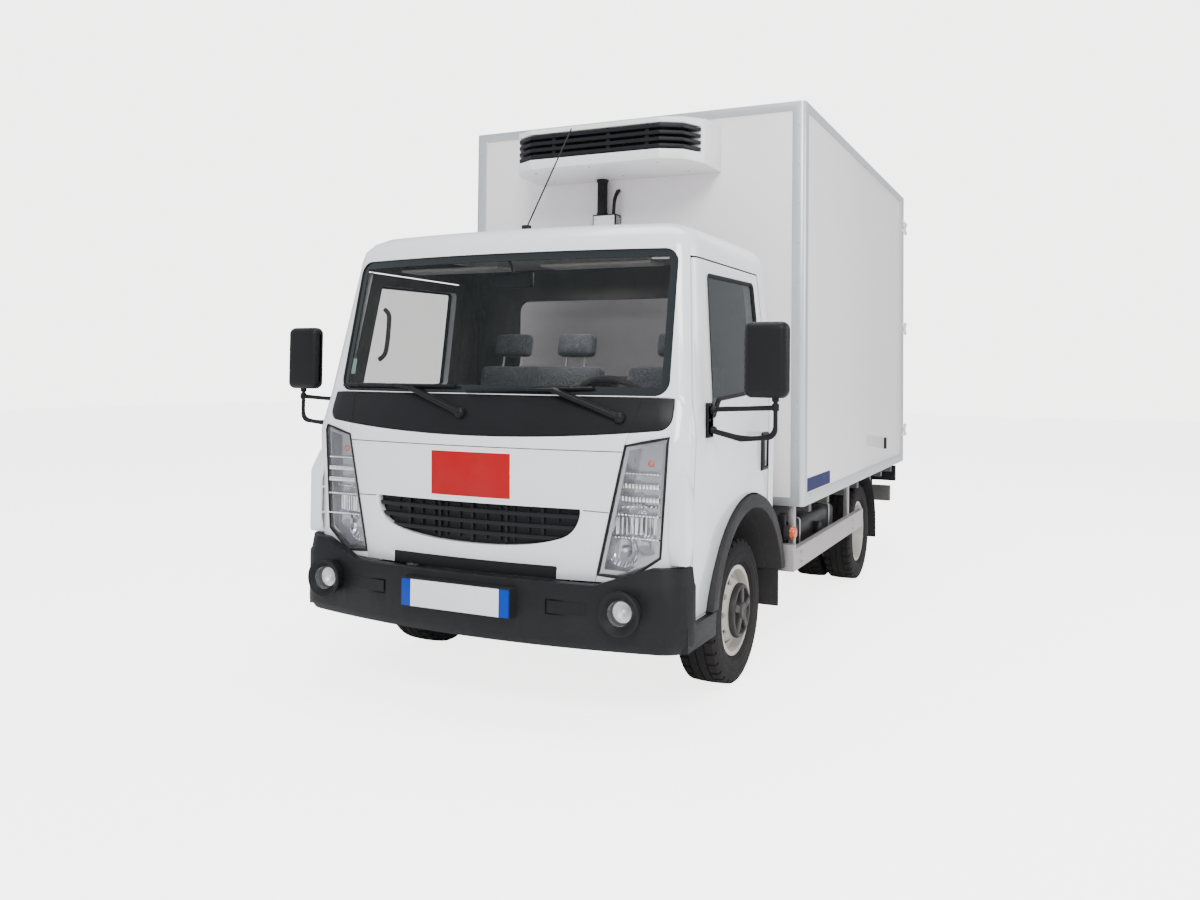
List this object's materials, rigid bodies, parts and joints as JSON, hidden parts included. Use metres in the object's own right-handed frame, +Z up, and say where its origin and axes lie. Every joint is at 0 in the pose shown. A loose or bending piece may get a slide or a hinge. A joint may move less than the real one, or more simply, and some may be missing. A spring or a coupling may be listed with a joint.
{
  "type": "refrigerated truck",
  "caption": "Light cab-over truck with a tilting cab, an insulated box with a front-mounted cooling unit, hinged doors, steered front wheels and twin rear wheels.",
  "frame": {"origin": "on the ground under the middle of the truck's overall box", "axes": "+X to the truck's left, -Y forward, +Z up"},
  "size_m": [2.548, 4.719, 2.831],
  "materials": {
    "white_paint": "gloss",
    "box_panel": "gloss",
    "black_plastic": "matte",
    "grey_plastic": "matte",
    "aluminium": "satin",
    "chassis_paint": "satin",
    "steel": "satin",
    "cast": "matte",
    "glass": "gloss",
    "lens": "gloss",
    "chrome": "gloss",
    "tyre": "matte",
    "wheel_paint": "satin",
    "seat_cloth": "matte",
    "plate": "gloss",
    "lamp_red": "gloss"
  },
  "bodies": {
    "chassis": {"box_bearers": "chassis_paint", "box_floor": "box_panel", "box_front_wall": "box_panel", "box_rails": "aluminium", "box_roof": "box_panel", "box_side_left": "box_panel", "box_side_right": "box_panel", "chassis_frame": "chassis_paint", "driveline": "cast", "evaporator": "white_paint", "exhaust": "steel", "front_suspension": "chassis_paint", "lamps": "lamp_red", "mudguards": "black_plastic", "rear_axle": "chassis_paint", "rear_hinges": "steel", "rear_underrun": "chassis_paint", "side_guard_left": "aluminium", "side_guard_right": "aluminium", "tanks": "black_plastic", "unit_case": "white_paint", "unit_grille": "black_plastic", "unit_pipes": "black_plastic"},
    "cab": {"cab_shell": "white_paint", "cab_glass": "glass", "front_panel": "white_paint", "cowl": "black_plastic", "grille": "black_plastic", "headlamps": "chrome", "headlamp_lenses": "lens", "bumper": "grey_plastic", "fog_lamps": "lens", "front_plates": "plate", "arch_flares": "grey_plastic", "seats": "seat_cloth", "dashboard": "black_plastic", "wipers": "black_plastic", "antenna": "black_plastic"},
    "steering_wheel": {"steering_wheel": "black_plastic"},
    "door_left": {"door_left": "white_paint", "door_glass_left": "glass", "mirror_left": "black_plastic"},
    "rear_door_left": {"rear_door_left": "box_panel", "rear_door_bars_left": "steel"},
    "knuckle_left": {"knuckle_left": "chassis_paint"},
    "wheel_front_left": {"tyre_front_left": "tyre", "rim_front_left": "wheel_paint"},
    "wheels_rear_left": {"tyres_rear_left": "tyre", "rims_rear_left": "wheel_paint"},
    "door_right": {"door_right": "white_paint", "door_glass_right": "glass", "mirror_right": "black_plastic"},
    "rear_door_right": {"rear_door_right": "box_panel", "rear_door_bars_right": "steel"},
    "knuckle_right": {"knuckle_right": "chassis_paint"},
    "wheel_front_right": {"tyre_front_right": "tyre", "rim_front_right": "wheel_paint"},
    "wheels_rear_right": {"tyres_rear_right": "tyre", "rims_rear_right": "wheel_paint"}
  },
  "joints": [
    {"name": "cab_tilt", "type": "hinge", "parent": "chassis", "child": "cab", "pos_m": [0, -2.085, 0.5], "axis": [1, 0, 0], "range_deg": [0, 45]},
    {"name": "steering_wheel_turn", "type": "hinge", "parent": "cab", "child": "steering_wheel", "pos_m": [0.445, -1.775, 1.23], "axis": [0, 0.766, 0.6428], "range_deg": [-525, 525]},
    {"name": "door_left_hinge", "type": "hinge", "parent": "cab", "child": "door_left", "pos_m": [0.938, -2.098, 0.9], "axis": [0, 0, -1], "range_deg": [0, 70]},
    {"name": "rear_door_left_hinge", "type": "hinge", "parent": "chassis", "child": "rear_door_left", "pos_m": [1.008, 2.352, 1.78], "axis": [0, 0, -1], "range_deg": [0, 265]},
    {"name": "steer_left", "type": "hinge", "parent": "chassis", "child": "knuckle_left", "pos_m": [0.66, -1.384, 0.327], "axis": [0, 0, 1], "range_deg": [-35, 35]},
    {"name": "roll_front_left", "type": "hinge", "parent": "knuckle_left", "child": "wheel_front_left", "pos_m": [0.785, -1.384, 0.327], "axis": [1, 0, 0], "continuous": true},
    {"name": "roll_rear_left", "type": "hinge", "parent": "chassis", "child": "wheels_rear_left", "pos_m": [0.7, 1.116, 0.327], "axis": [1, 0, 0], "continuous": true},
    {"name": "door_right_hinge", "type": "hinge", "parent": "cab", "child": "door_right", "pos_m": [-0.938, -2.098, 0.9], "axis": [0, 0, 1], "range_deg": [0, 70]},
    {"name": "rear_door_right_hinge", "type": "hinge", "parent": "chassis", "child": "rear_door_right", "pos_m": [-1.008, 2.352, 1.78], "axis": [0, 0, 1], "range_deg": [0, 265]},
    {"name": "steer_right", "type": "hinge", "parent": "chassis", "child": "knuckle_right", "pos_m": [-0.66, -1.384, 0.327], "axis": [0, 0, 1], "range_deg": [-35, 35]},
    {"name": "roll_front_right", "type": "hinge", "parent": "knuckle_right", "child": "wheel_front_right", "pos_m": [-0.785, -1.384, 0.327], "axis": [1, 0, 0], "continuous": true},
    {"name": "roll_rear_right", "type": "hinge", "parent": "chassis", "child": "wheels_rear_right", "pos_m": [-0.7, 1.116, 0.327], "axis": [1, 0, 0], "continuous": true}
  ],
  "couplings": [
    {"joint": "steer_right", "follows": "steer_left", "ratio": 1},
    {"joint": "steering_wheel_turn", "follows": "steer_left", "ratio": 15}
  ]
}
